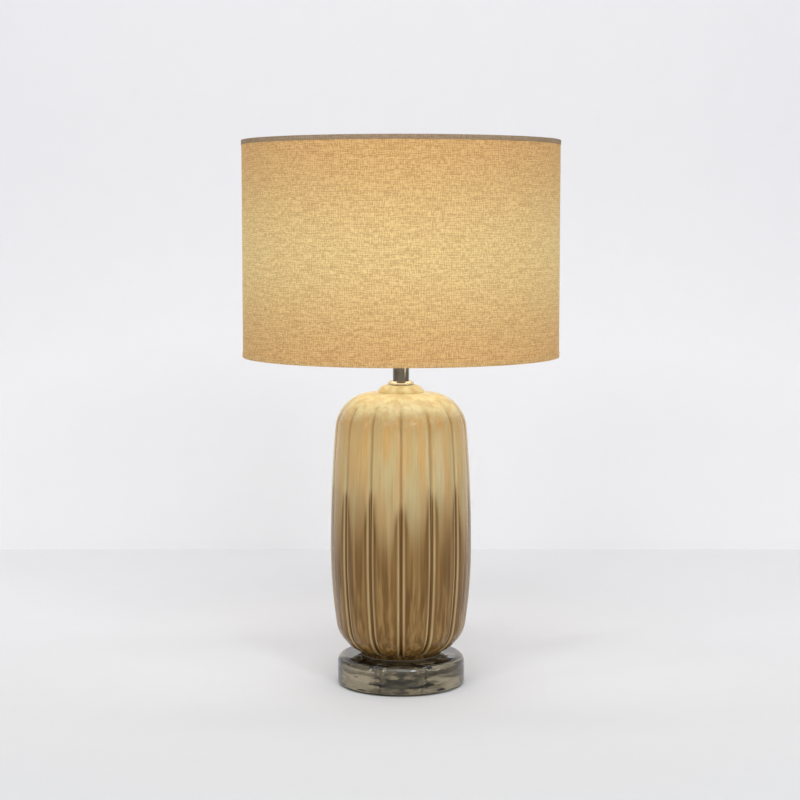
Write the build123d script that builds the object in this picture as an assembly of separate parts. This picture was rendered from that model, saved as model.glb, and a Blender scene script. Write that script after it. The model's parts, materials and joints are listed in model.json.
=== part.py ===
from build123d import *
from math import atan2, degrees, sqrt
import os

# Table lamp: a lobed ceramic body on a clear disc, with a drum shade held on a screw lampholder.
# Lengths are millimetres. +Z is up, the front faces -Y, and the origin is on the table under the
# lamp's axis.

# Clearances
GLUE_GAP = 0.05  # laminated, welded or pressed pieces
RUNNING_GAP = 0.06  # radial, switch shaft in its bush
THREAD_GAP = 0.10  # radial, threads, which are drawn as plain cylinders
SLIP_GAP = 0.20  # radial, a piece pushed into its seat by hand
LOOSE_GAP = 0.40  # radial, the bulb in its socket and the shade round its holder
PASS_GAP = 0.50  # radial, a hole that a piece only passes through

# Clear base disc and its feet
DISC_D = 142.0
DISC_T = 32.0
DISC_TOP_ROUND = 9.0
DISC_LOW_ROUND = 2.0
FOOT_D = 12.0
FOOT_H = 2.0
FOOT_COUNT = 4
FOOT_INSET = 14.0  # disc rim to foot centre

# Recess under the disc, with the nut that clamps the lamp together
RECESS_D = 40.0
RECESS_DEPTH = 18.0
COVER_LAP = 5.0  # cover beyond the recess
COVER_T = 0.8
WASHER_D = 30.0
WASHER_T = 1.6
LOCK_WASHER_D = 18.0
LOCK_WASHER_T = 1.0
LOCK_WASHER_SPLIT = 1.5
NUT_WIDTH = 17.0  # across flats
NUT_H = 5.0
PIPE_PROUD = 1.5  # pipe below the nut

# Threaded pipe
PIPE_D = 10.0
PIPE_BORE_D = 7.0

# Cord bush at the rear of the disc
CORD_BORE_D = 6.4
CORD_BUSH_D = 9.0
CORD_BUSH_L = 16.0  # inside the disc
CORD_FLANGE_D = 13.0
CORD_FLANGE_T = 2.0
CORD_SEAT_DEPTH = 0.6  # flat seat cut into the disc's rim
CORD_RISE = 8.5  # above the underside of the disc

# Lobed ceramic body
BODY_D = 156.8
BODY_H = 291.0  # underside of the lobes to the top of the shoulder
WIDEST_H = 118.5  # underside of the lobes to the widest level
LOW_SIDE_R = 600.0  # side curve below the widest level
HIGH_SIDE_R = 1650.0  # side curve above it
LOW_ROUND = 38.0  # lower edge
SHOULDER_ROUND = 42.0
LOBES = 14
GROOVE_DEPTH = 3.0
GROOVE_W = 7.0
GROOVE_FADE = 1.2  # groove's tip rises this far out of the body at its ends
WALL_T = 6.0
END_WALL_T = 8.0
FOOT_RING_D = 90.0
FOOT_RING_W = 10.0
FOOT_RING_H = 1.5  # foot ring below the lobes
COLLAR_D = 51.0
COLLAR_TOP_D = 30.0
COLLAR_H = 8.5
COLLAR_EDGE_H = 1.5  # upright edge under the collar's dome
BUSH_HOLE_D = 18.0
BUSH_LEDGE_D = 14.0
BUSH_L = 10.0
BUSH_FLANGE_D = 28.0
BUSH_FLANGE_T = 2.5

# Gaskets, neck cap and neck tube
BODY_GASKET_T = 1.0
NECK_GASKET_T = 0.5
NECK_GASKET_D = 27.0
NECK_CAP_D = 29.0
NECK_CAP_TOP_D = 23.0
NECK_CAP_H = 4.0
NECK_CAP_EDGE_H = 1.6  # upright edge under the taper
NECK_D = 18.0
NECK_WALL_T = 1.0
NECK_L = 31.5

# Lampholder
HOLDER_D = 40.0
HOLDER_CAP_H = 26.0
HOLDER_BOSS_D = 20.0
HOLDER_BOSS_H = 6.0
HOLDER_FLOOR_T = 8.0
HOLDER_CONE_H = 7.0
HOLDER_WALL_T = 2.1
HOLDER_STEP_H = 4.0  # barrel reaches this far into the cap
HOLDER_LEDGE_W = 2.4  # ledge in the cap, under the barrel and the carrier
BARREL_H = 42.0
BARREL_WALL_T = 1.1
BARREL_LIP_T = 3.0
BARREL_LIP_W = 1.8
SKIRT_H = 3.0
FLANGE_D = 50.0
FLANGE_T = 3.0
CLAMP_THREAD_D = 39.0
CLAMP_THREAD_L = 22.0
BARREL_TOP_D = 37.2
GRUB_D = 3.0
GRUB_H = 3.0  # above the bottom of the cap
CARRIER_T = 13.0
SHELL_BORE_D = 26.9
SHELL_T = 0.6
SHELL_H = 26.0
SHELL_FLOOR_HOLE_D = 18.0
CONTACT_W = 6.0
CONTACT_L = 12.0
CONTACT_H = 3.0
CONTACT_T = 0.5
TERMINAL_OFFSET = 9.5
TERMINAL_HEAD_D = 6.0
TERMINAL_HEAD_H = 2.0
TERMINAL_SHANK_D = 3.0
TERMINAL_SHANK_L = 8.0

# Turn switch in the side of the lampholder
SWITCH_H = 17.0  # axis above the bottom of the holder cap
SWITCH_PAD_D = 12.0
SWITCH_PAD_H = 1.5  # flat pad, proud of the cap's side
SWITCH_BUSH_D = 7.0
SWITCH_BUSH_FLANGE_D = 10.4
SWITCH_BUSH_FLANGE_T = 1.5
SWITCH_SHAFT_D = 4.0
SWITCH_CAM_D = 7.0
SWITCH_CAM_L = 6.0
SWITCH_CAM_X = 4.0  # inner end of the cam
KNOB_D = 12.4
KNOB_L = 13.7
KNOB_CAP_T = 1.4  # wall in front of the shaft's end
KNOB_FLUTES = 12
FLUTE_D = 1.6

# Ring that clamps the shade's fitter to the lampholder
CLAMP_D = 49.0
CLAMP_H = 7.0
CLAMP_FLUTES = 24

# Screw-in bulb
BULB_TIP_D = 9.0
BULB_TIP_H = 1.7
BULB_INSULATOR_D = 23.0
BULB_INSULATOR_H = 4.0
BULB_CAP_D = 26.1
BULB_CAP_T = 0.6
BULB_CAP_H = 20.0
BULB_NECK_D = 28.0
BULB_NECK_L = 6.0
BULB_FLARE_H = 34.0
BULB_WALL_T = 1.6
BULB_PLUG_L = 8.0  # housing inside the screw cap
GLOBE_D = 60.0
GLOBE_DROP = 8.0  # rim below the globe's centre
LED_BOARD_T = 1.6
LED_LEDGE_W = 1.5  # ledge in the housing, under the board

# Drum shade and its fitter
SHADE_D = 350.0
SHADE_H = 236.5
FITTER_RISE = 36.0  # shade's lower edge to the flange that carries it
HEM_T = 0.4
HEM_H = 5.0
COVER_FABRIC_T = 0.6
LINER_T = 0.5
RING_WIRE_D = 3.2
ARM_WIRE_D = 3.0
ARM_COUNT = 3
ARM_FIRST_DEG = 90.0
ARM_BEND_IN = 22.0  # bend to wire ring, radially
ARM_DROP_L = 8.0  # upright end above the wire ring
ARM_BEND_R = 12.0
FITTER_D = 58.0
FITTER_T = 2.0

# Levels, from the table up
DISC_Z = FOOT_H
DISC_TOP_Z = DISC_Z + DISC_T
RECESS_TOP_Z = DISC_Z + RECESS_DEPTH
WASHER_Z = RECESS_TOP_Z - WASHER_T
LOCK_WASHER_Z = WASHER_Z - LOCK_WASHER_T
NUT_Z = LOCK_WASHER_Z - NUT_H
PIPE_Z = NUT_Z - PIPE_PROUD
CORD_Z = DISC_Z + CORD_RISE
FOOT_RING_Z = DISC_TOP_Z + BODY_GASKET_T
BODY_Z = FOOT_RING_Z + FOOT_RING_H
BODY_TOP_Z = BODY_Z + BODY_H
COLLAR_TOP_Z = BODY_TOP_Z + COLLAR_H
NECK_CAP_Z = COLLAR_TOP_Z + NECK_GASKET_T
NECK_Z = NECK_CAP_Z + NECK_CAP_H
HOLDER_Z = NECK_Z + NECK_L
HOLDER_FLOOR_Z = HOLDER_Z + HOLDER_FLOOR_T
HOLDER_CONE_TOP_Z = HOLDER_Z + HOLDER_BOSS_H + HOLDER_CONE_H
BARREL_Z = HOLDER_Z + HOLDER_CAP_H
LEDGE_Z = BARREL_Z - HOLDER_STEP_H
FLANGE_Z = BARREL_Z + SKIRT_H
SEAT_Z = FLANGE_Z + FLANGE_T
CLAMP_Z = SEAT_Z + FITTER_T
BARREL_TOP_Z = BARREL_Z + BARREL_H
CARRIER_TOP_Z = LEDGE_Z + CARRIER_T
SWITCH_Z = HOLDER_Z + SWITCH_H
BULB_Z = CARRIER_TOP_Z + CONTACT_H + LOOSE_GAP
BULB_INSULATOR_Z = BULB_Z + BULB_TIP_H
BULB_CAP_Z = BULB_INSULATOR_Z + BULB_INSULATOR_H
BULB_NECK_Z = BULB_CAP_Z + BULB_CAP_H
BULB_FLARE_Z = BULB_NECK_Z + BULB_NECK_L
BULB_RIM_Z = BULB_FLARE_Z + BULB_FLARE_H
LED_BOARD_Z = BULB_RIM_Z - LED_BOARD_T
GLOBE_Z = BULB_RIM_Z + GLOBE_DROP
SHADE_Z = SEAT_Z - FITTER_RISE
SHADE_TOP_Z = SHADE_Z + SHADE_H

# Radii that several pieces share
PIPE_R = PIPE_D / 2
PASS_R = PIPE_R + PASS_GAP
DISC_R = DISC_D / 2
RECESS_R = RECESS_D / 2
FOOT_RING_R = FOOT_RING_D / 2
HOLDER_R = HOLDER_D / 2
HOLDER_SOCKET_R = HOLDER_R - HOLDER_WALL_T
SPIGOT_R = HOLDER_SOCKET_R - SLIP_GAP
BARREL_BORE_R = SPIGOT_R - BARREL_WALL_T
CARRIER_R = BARREL_BORE_R - SLIP_GAP
CAVITY_R = HOLDER_SOCKET_R - HOLDER_LEDGE_W
CLAMP_THREAD_R = CLAMP_THREAD_D / 2
BULB_CAP_R = BULB_CAP_D / 2
BULB_PLUG_R = BULB_CAP_R - BULB_CAP_T - GLUE_GAP
GLOBE_R = GLOBE_D / 2
GLOBE_RIM_R = sqrt(GLOBE_R**2 - GLOBE_DROP**2)
LED_SEAT_R = GLOBE_RIM_R - BULB_WALL_T
SHADE_R = SHADE_D / 2
FITTER_R = FITTER_D / 2
COVER_R = SHADE_R - HEM_T - GLUE_GAP
LINER_R = COVER_R - COVER_FABRIC_T - GLUE_GAP
LINER_BORE_R = LINER_R - LINER_T
RING_R = LINER_BORE_R - GLUE_GAP - RING_WIRE_D / 2
HEM_BORE_R = RING_R - RING_WIRE_D / 2 - GLUE_GAP - HEM_T
FABRIC_Z = SHADE_Z + HEM_T + GLUE_GAP
FABRIC_TOP_Z = SHADE_TOP_Z - HEM_T - GLUE_GAP
LOW_RING_Z = FABRIC_Z + RING_WIRE_D / 2
TOP_RING_Z = FABRIC_TOP_Z - RING_WIRE_D / 2

BOTTOM = (Align.CENTER, Align.CENTER, Align.MIN)
TOP = (Align.CENTER, Align.CENTER, Align.MAX)


def upright(radius, low, high):
    return Pos(0, 0, low) * Cylinder(radius, high - low, align=BOTTOM)


def tube(inner, outer, low, high):
    return upright(outer, low, high) - upright(inner, low, high)


def bar_x(radius, start, end, z):
    return Pos(start, 0, z) * Rot(0, 90, 0) * Cylinder(radius, end - start, align=BOTTOM)


def bar_y(radius, start, end, z):
    return Pos(0, start, z) * Rot(-90, 0, 0) * Cylinder(radius, end - start, align=BOTTOM)


def turned(*points):
    """Solid turned about the lamp's axis from a closed outline of (radius, height) points."""
    return revolve(Plane.XZ * make_face(Polyline(*points, close=True)), Axis.Z)


# Base


def rubber_feet():
    foot = Cone(FOOT_D / 2 * 0.9, FOOT_D / 2, FOOT_H, align=BOTTOM)
    places = PolarLocations(DISC_R - FOOT_INSET, FOOT_COUNT, start_angle=180 / FOOT_COUNT)
    return Compound(children=[place * foot for place in places])


def crystal_base():
    disc = upright(DISC_R, DISC_Z, DISC_TOP_Z)
    rims = disc.edges().filter_by(GeomType.CIRCLE).sort_by(Axis.Z)
    disc = fillet(rims[-1], DISC_TOP_ROUND)
    rims = disc.edges().filter_by(GeomType.CIRCLE).sort_by(Axis.Z)
    disc = fillet(rims[0], DISC_LOW_ROUND)
    disc -= upright(PASS_R, DISC_Z, DISC_TOP_Z)
    disc -= upright(RECESS_R, DISC_Z, RECESS_TOP_Z)
    disc -= bar_y(CORD_BUSH_D / 2 + SLIP_GAP, 0, DISC_R, CORD_Z)
    return disc - bar_y(CORD_FLANGE_D / 2 + SLIP_GAP, DISC_R - CORD_SEAT_DEPTH, DISC_R, CORD_Z)


def recess_cover():
    return upright(RECESS_R + COVER_LAP, DISC_Z - COVER_T, DISC_Z)


def base_washer():
    return tube(PASS_R, WASHER_D / 2, WASHER_Z, RECESS_TOP_Z)


def base_lock_washer():
    split = Pos(LOCK_WASHER_D / 2, 0, LOCK_WASHER_Z)
    split *= Box(LOCK_WASHER_D, LOCK_WASHER_SPLIT, LOCK_WASHER_T, align=BOTTOM)
    return tube(PIPE_R + THREAD_GAP, LOCK_WASHER_D / 2, LOCK_WASHER_Z, WASHER_Z) - split


def base_nut():
    hexagon = RegularPolygon(NUT_WIDTH / 2, 6, major_radius=False)
    nut = Pos(0, 0, NUT_Z) * extrude(hexagon, NUT_H)
    return nut - upright(PIPE_R + THREAD_GAP, NUT_Z, LOCK_WASHER_Z)


def cord_bushing():
    seat = DISC_R - CORD_SEAT_DEPTH
    mouth = seat + CORD_FLANGE_T
    bush = bar_y(CORD_BUSH_D / 2, seat - CORD_BUSH_L, seat, CORD_Z)
    bush += bar_y(CORD_FLANGE_D / 2, seat, mouth, CORD_Z)
    return bush - bar_y(CORD_BORE_D / 2, seat - CORD_BUSH_L, mouth, CORD_Z)


# Ceramic body


def meridian(radius, low, high, low_round, shoulder_round):
    """Half outline of the body: rounded foot, two side arcs and shoulder, each tangent to the next."""
    widest = BODY_Z + WIDEST_H
    low_side = radius - LOW_SIDE_R
    high_side = radius - HIGH_SIDE_R
    low_z = low + low_round
    high_z = high - shoulder_round
    low_x = low_side + sqrt((LOW_SIDE_R - low_round) ** 2 - (low_z - widest) ** 2)
    high_x = high_side + sqrt((HIGH_SIDE_R - shoulder_round) ** 2 - (high_z - widest) ** 2)
    low_turn = degrees(atan2(low_z - widest, low_x - low_side))
    high_turn = degrees(atan2(high_z - widest, high_x - high_side))
    outline = [
        Line((0, low), (low_x, low)),
        CenterArc((low_x, low_z), low_round, -90, 90 + low_turn),
        CenterArc((low_side, widest), LOW_SIDE_R, low_turn, -low_turn),
        CenterArc((high_side, widest), HIGH_SIDE_R, 0, high_turn),
        CenterArc((high_x, high_z), shoulder_round, high_turn, 90 - high_turn),
        Line((high_x, high), (0, high)),
        Line((0, high), (0, low)),
    ]
    return make_face(outline)


def groove_cutter():
    """Cutter for one groove on the +X side. Its tip runs out of the body over the shoulder and foot."""
    tip = meridian(
        BODY_D / 2 - GROOVE_DEPTH,
        BODY_Z - GROOVE_FADE,
        BODY_TOP_Z + GROOVE_FADE,
        LOW_ROUND,
        SHOULDER_ROUND,
    )
    path = Plane.XZ * Wire(tip.edges().filter_by(GeomType.CIRCLE))
    depth = 2 * GROOVE_DEPTH
    vee = make_face(Polyline((0, 0), (GROOVE_W, -depth), (-GROOVE_W, -depth), close=True))
    return sweep(Plane(origin=path @ 0, x_dir=(0, 1, 0), z_dir=(1, 0, 0)) * vee, path)


def ceramic_body():
    body_r = BODY_D / 2
    inset = GROOVE_DEPTH + WALL_T
    floor_z = BODY_Z + END_WALL_T
    roof_z = BODY_TOP_Z - END_WALL_T
    outer = meridian(body_r, BODY_Z, BODY_TOP_Z, LOW_ROUND, SHOULDER_ROUND)
    hollow = meridian(body_r - inset, floor_z, roof_z, LOW_ROUND - inset, SHOULDER_ROUND - inset)
    body = revolve(Plane.XZ * outer, Axis.Z)
    cutter = groove_cutter()
    body -= [Rot(0, 0, -90 + number * 360 / LOBES) * cutter for number in range(LOBES)]
    body += tube(FOOT_RING_R - FOOT_RING_W, FOOT_RING_R, FOOT_RING_Z, floor_z)
    body += collar()
    body -= revolve(Plane.XZ * hollow, Axis.Z)
    body -= upright(BUSH_HOLE_D / 2, FOOT_RING_Z, floor_z)
    body -= upright(BUSH_LEDGE_D / 2, floor_z, COLLAR_TOP_Z)
    return body - upright(BUSH_HOLE_D / 2, COLLAR_TOP_Z - BUSH_L, COLLAR_TOP_Z)


def collar():
    """Domed ring on the shoulder, turned from an upright edge and one arc that is level at its top."""
    edge_z = BODY_TOP_Z + COLLAR_EDGE_H
    outer = COLLAR_D / 2
    top = COLLAR_TOP_D / 2
    root_z = BODY_TOP_Z - END_WALL_T / 2
    outline = [
        Polyline((0, root_z), (outer, root_z), (outer, edge_z)),
        TangentArc((top, COLLAR_TOP_Z), (outer, edge_z), tangent=(1, 0)),
        Polyline((top, COLLAR_TOP_Z), (0, COLLAR_TOP_Z), (0, root_z)),
    ]
    return revolve(Plane.XZ * make_face(outline), Axis.Z)


def lower_centring_bush():
    floor_z = BODY_Z + END_WALL_T
    bush = upright(BUSH_HOLE_D / 2 - SLIP_GAP, BODY_Z, floor_z)
    bush += upright(BUSH_FLANGE_D / 2, floor_z, floor_z + BUSH_FLANGE_T)
    return bush - upright(PIPE_R + SLIP_GAP, BODY_Z, floor_z + BUSH_FLANGE_T)


def upper_centring_bush():
    outer = BUSH_HOLE_D / 2 - SLIP_GAP
    return tube(PIPE_R + SLIP_GAP, outer, COLLAR_TOP_Z - BUSH_L, COLLAR_TOP_Z)


def body_gasket():
    return tube(FOOT_RING_R - FOOT_RING_W, FOOT_RING_R, DISC_TOP_Z, FOOT_RING_Z)


# Pipe and neck


def threaded_pipe():
    return tube(PIPE_BORE_D / 2, PIPE_R, PIPE_Z, HOLDER_FLOOR_Z + PIPE_PROUD)


def neck_gasket():
    return tube(BUSH_HOLE_D / 2, NECK_GASKET_D / 2, COLLAR_TOP_Z, NECK_CAP_Z)


def neck_cap():
    outer = NECK_CAP_D / 2
    edge_z = NECK_CAP_Z + NECK_CAP_EDGE_H
    return turned(
        (PASS_R, NECK_CAP_Z),
        (outer, NECK_CAP_Z),
        (outer, edge_z),
        (NECK_CAP_TOP_D / 2, NECK_Z),
        (PASS_R, NECK_Z),
    )


def neck_tube():
    return tube(NECK_D / 2 - NECK_WALL_T, NECK_D / 2, NECK_Z, HOLDER_Z)


# Lampholder


def holder_cap():
    thread = PIPE_R + THREAD_GAP
    boss = HOLDER_BOSS_D / 2
    boss_z = HOLDER_Z + HOLDER_BOSS_H
    cap = turned(
        (thread, HOLDER_Z),
        (boss, HOLDER_Z),
        (boss, boss_z),
        (HOLDER_R, HOLDER_CONE_TOP_Z),
        (HOLDER_R, BARREL_Z),
        (HOLDER_SOCKET_R, BARREL_Z),
        (HOLDER_SOCKET_R, LEDGE_Z),
        (CAVITY_R, LEDGE_Z),
        (CAVITY_R, HOLDER_CONE_TOP_Z),
        (boss, HOLDER_FLOOR_Z),
        (thread, HOLDER_FLOOR_Z),
    )
    cap += bar_x(SWITCH_PAD_D / 2, HOLDER_SOCKET_R, HOLDER_R + SWITCH_PAD_H, SWITCH_Z)
    cap -= bar_x(SWITCH_BUSH_D / 2 + GLUE_GAP, 0, HOLDER_R + SWITCH_PAD_H, SWITCH_Z)
    return cap - bar_x(GRUB_D / 2 + THREAD_GAP, -boss, 0, HOLDER_Z + GRUB_H)


def holder_grub_screw():
    return bar_x(GRUB_D / 2, -HOLDER_BOSS_D / 2, -PIPE_R - GLUE_GAP, HOLDER_Z + GRUB_H)


def holder_barrel():
    lip = BARREL_BORE_R - BARREL_LIP_W
    thread_z = SEAT_Z + CLAMP_THREAD_L
    return turned(
        (BARREL_BORE_R, LEDGE_Z),
        (SPIGOT_R, LEDGE_Z),
        (SPIGOT_R, BARREL_Z),
        (HOLDER_R, BARREL_Z),
        (HOLDER_R, FLANGE_Z),
        (FLANGE_D / 2, FLANGE_Z),
        (FLANGE_D / 2, SEAT_Z),
        (CLAMP_THREAD_R, SEAT_Z),
        (CLAMP_THREAD_R, thread_z),
        (BARREL_TOP_D / 2, thread_z),
        (BARREL_TOP_D / 2, BARREL_TOP_Z),
        (lip, BARREL_TOP_Z),
        (lip, BARREL_TOP_Z - BARREL_LIP_T),
        (BARREL_BORE_R, BARREL_TOP_Z - BARREL_LIP_T),
    )


def contact_carrier():
    carrier = upright(CARRIER_R, LEDGE_Z, CARRIER_TOP_Z)
    for side in (-TERMINAL_OFFSET, TERMINAL_OFFSET):
        hole = upright(TERMINAL_SHANK_D / 2 + THREAD_GAP, LEDGE_Z, LEDGE_Z + TERMINAL_SHANK_L)
        carrier -= Pos(0, side, 0) * hole
    return carrier


def screw_shell():
    bore = SHELL_BORE_D / 2
    floor_z = CARRIER_TOP_Z + SHELL_T
    shell = upright(bore + SHELL_T, CARRIER_TOP_Z, CARRIER_TOP_Z + SHELL_H)
    shell -= upright(bore, floor_z, CARRIER_TOP_Z + SHELL_H)
    return shell - upright(SHELL_FLOOR_HOLE_D / 2, CARRIER_TOP_Z, floor_z)


def centre_contact():
    """Springy strip: a foot on the carrier and an arched tongue under the bulb's tip."""
    half = CONTACT_L / 2
    foot = Box(CONTACT_L, CONTACT_W, CONTACT_T, align=BOTTOM)
    crown = ThreePointArc((-half, CONTACT_T / 2), (0, CONTACT_H - CONTACT_T / 2), (half, CONTACT_T / 2))
    tongue = extrude(Plane.XZ * trace(crown, CONTACT_T), CONTACT_W / 2, both=True)
    return Pos(0, 0, CARRIER_TOP_Z) * (foot + tongue)


def terminal_screws():
    head_z = LEDGE_Z - TERMINAL_HEAD_H
    screw = upright(TERMINAL_HEAD_D / 2, head_z, LEDGE_Z)
    screw += upright(TERMINAL_SHANK_D / 2, LEDGE_Z, LEDGE_Z + TERMINAL_SHANK_L)
    return Compound(children=[Pos(0, side, 0) * screw for side in (-TERMINAL_OFFSET, TERMINAL_OFFSET)])


# Turn switch


def switch_bush():
    pad = HOLDER_R + SWITCH_PAD_H
    bush = bar_x(SWITCH_BUSH_D / 2, CAVITY_R, pad, SWITCH_Z)
    bush += bar_x(SWITCH_BUSH_FLANGE_D / 2, pad, pad + SWITCH_BUSH_FLANGE_T, SWITCH_Z)
    return bush - bar_x(SWITCH_SHAFT_D / 2 + RUNNING_GAP, 0, pad + SWITCH_BUSH_FLANGE_T, SWITCH_Z)


def knob_start():
    return HOLDER_R + SWITCH_PAD_H + SWITCH_BUSH_FLANGE_T + LOOSE_GAP


def switch_shaft():
    end = knob_start() + KNOB_L - KNOB_CAP_T
    shaft = bar_x(SWITCH_SHAFT_D / 2, SWITCH_CAM_X, end, SWITCH_Z)
    return shaft + bar_x(SWITCH_CAM_D / 2, SWITCH_CAM_X, SWITCH_CAM_X + SWITCH_CAM_L, SWITCH_Z)


def switch_knob():
    start = knob_start()
    knob = bar_x(KNOB_D / 2, start, start + KNOB_L, SWITCH_Z)
    knob -= bar_x(SWITCH_SHAFT_D / 2 + GLUE_GAP, start, start + KNOB_L - KNOB_CAP_T, SWITCH_Z)
    flute = Pos(KNOB_D / 2, 0, 0) * Cylinder(FLUTE_D / 2, KNOB_L, align=BOTTOM)
    ring = [Rot(0, 0, number * 360 / KNOB_FLUTES) * flute for number in range(KNOB_FLUTES)]
    return knob - [Pos(start, 0, SWITCH_Z) * Rot(0, 90, 0) * flute for flute in ring]


def shade_clamp_ring():
    ring = tube(CLAMP_THREAD_R + SLIP_GAP, CLAMP_D / 2, CLAMP_Z, CLAMP_Z + CLAMP_H)
    flute = Pos(CLAMP_D / 2, 0, 0) * upright(FLUTE_D / 2, CLAMP_Z, CLAMP_Z + CLAMP_H)
    return ring - [Rot(0, 0, number * 360 / CLAMP_FLUTES) * flute for number in range(CLAMP_FLUTES)]


# Bulb


def bulb_contact():
    return upright(BULB_TIP_D / 2, BULB_Z, BULB_INSULATOR_Z)


def bulb_insulator():
    outer = BULB_INSULATOR_D / 2
    return turned(
        (0, BULB_INSULATOR_Z), (BULB_TIP_D / 2, BULB_INSULATOR_Z), (outer, BULB_CAP_Z), (0, BULB_CAP_Z)
    )


def bulb_screw_cap():
    cap = upright(BULB_CAP_R, BULB_CAP_Z, BULB_NECK_Z)
    return cap - upright(BULB_CAP_R - BULB_CAP_T, BULB_CAP_Z + BULB_CAP_T, BULB_NECK_Z)


def bulb_housing():
    """Conical shell from the screw cap to the globe's rim, with a ledge inside for the board."""
    neck = BULB_NECK_D / 2
    plug_z = BULB_NECK_Z - BULB_PLUG_L
    inner_plug = BULB_PLUG_R - BULB_WALL_T
    ledge = LED_SEAT_R - LED_LEDGE_W
    outside = [(BULB_PLUG_R, plug_z), (BULB_PLUG_R, BULB_NECK_Z), (neck, BULB_NECK_Z), (neck, BULB_FLARE_Z)]
    rim = [(GLOBE_RIM_R, BULB_RIM_Z), (LED_SEAT_R, BULB_RIM_Z), (LED_SEAT_R, LED_BOARD_Z)]
    inside = [(ledge, LED_BOARD_Z), (inner_plug, BULB_FLARE_Z), (inner_plug, plug_z)]
    return turned(*outside, *rim, *inside)


def led_board():
    return upright(LED_SEAT_R - SLIP_GAP, LED_BOARD_Z, BULB_RIM_Z)


def bulb_globe():
    globe = Sphere(GLOBE_R) - Sphere(GLOBE_R - BULB_WALL_T)
    below = Pos(0, 0, -GLOBE_DROP) * Box(GLOBE_D, GLOBE_D, GLOBE_D, align=TOP)
    return Pos(0, 0, GLOBE_Z) * (globe - below)


# Shade


def shade_cover():
    return tube(COVER_R - COVER_FABRIC_T, COVER_R, FABRIC_Z, FABRIC_TOP_Z)


def shade_liner():
    return tube(LINER_BORE_R, LINER_R, FABRIC_Z, FABRIC_TOP_Z)


def hem(edge, up):
    """Tape folded round one edge of the drum: outside leg, fold, and inside leg past the wire ring."""
    inner_leg = HEM_T + GLUE_GAP + RING_WIRE_D
    return turned(
        (HEM_BORE_R, edge),
        (SHADE_R, edge),
        (SHADE_R, edge + up * HEM_H),
        (SHADE_R - HEM_T, edge + up * HEM_H),
        (SHADE_R - HEM_T, edge + up * HEM_T),
        (HEM_BORE_R + HEM_T, edge + up * HEM_T),
        (HEM_BORE_R + HEM_T, edge + up * inner_leg),
        (HEM_BORE_R, edge + up * inner_leg),
    )


def wire_ring(z):
    return Pos(0, 0, z) * Torus(RING_R, RING_WIRE_D / 2)


def fitter_ring():
    return tube(CLAMP_THREAD_R + LOOSE_GAP, FITTER_R, SEAT_Z, CLAMP_Z)


def fitter_arm(number):
    """Bent wire from the fitter ring out to the shade's lower wire ring."""
    arm_z = SEAT_Z + FITTER_T / 2
    end_z = LOW_RING_Z + RING_WIRE_D / 2 + GLUE_GAP
    start = (FITTER_R + GLUE_GAP, 0, arm_z)
    bend = (RING_R - ARM_BEND_IN, 0, arm_z)
    drop = (RING_R, 0, end_z + ARM_DROP_L)
    path = FilletPolyline(start, bend, drop, (RING_R, 0, end_z), radius=ARM_BEND_R)
    arm = sweep(Plane(origin=start, z_dir=(1, 0, 0)) * Circle(ARM_WIRE_D / 2), path)
    return Rot(0, 0, ARM_FIRST_DEG + number * 360 / ARM_COUNT) * arm


PIECES = {
    "rubber_feet": rubber_feet(),
    "crystal_base": crystal_base(),
    "recess_cover": recess_cover(),
    "base_washer": base_washer(),
    "base_lock_washer": base_lock_washer(),
    "base_nut": base_nut(),
    "cord_bushing": cord_bushing(),
    "body_gasket": body_gasket(),
    "ceramic_body": ceramic_body(),
    "lower_centring_bush": lower_centring_bush(),
    "upper_centring_bush": upper_centring_bush(),
    "threaded_pipe": threaded_pipe(),
    "neck_gasket": neck_gasket(),
    "neck_cap": neck_cap(),
    "neck_tube": neck_tube(),
    "holder_cap": holder_cap(),
    "holder_grub_screw": holder_grub_screw(),
    "holder_barrel": holder_barrel(),
    "contact_carrier": contact_carrier(),
    "screw_shell": screw_shell(),
    "centre_contact": centre_contact(),
    "terminal_screws": terminal_screws(),
    "switch_bush": switch_bush(),
    "switch_shaft": switch_shaft(),
    "switch_knob": switch_knob(),
    "shade_clamp_ring": shade_clamp_ring(),
    "bulb_contact": bulb_contact(),
    "bulb_insulator": bulb_insulator(),
    "bulb_screw_cap": bulb_screw_cap(),
    "bulb_housing": bulb_housing(),
    "led_board": led_board(),
    "bulb_globe": bulb_globe(),
    "shade_cover": shade_cover(),
    "shade_liner": shade_liner(),
    "top_hem": hem(SHADE_TOP_Z, -1),
    "bottom_hem": hem(SHADE_Z, 1),
    "top_wire_ring": wire_ring(TOP_RING_Z),
    "bottom_wire_ring": wire_ring(LOW_RING_Z),
    "fitter_ring": fitter_ring(),
}
for arm_number in range(ARM_COUNT):
    PIECES[f"fitter_arm_{arm_number + 1}"] = fitter_arm(arm_number)

os.makedirs("parts", exist_ok=True)
for node, piece in PIECES.items():
    export_step(piece, f"parts/{node}.step")
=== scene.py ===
# %% [markdown]
# # A lit table lamp with a lobed ceramic body
# The lamp stands on a thick clear disc. A glazed body with fourteen lobes carries a short bright
# neck, and a linen drum shade hides the lampholder and the bulb. The CAD model gives every piece
# its place; this lesson gives every piece its surface.

# %% Load the frame
import json
from math import asin, ceil, cos, dist, hypot, pi, radians, sin, sqrt

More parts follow.
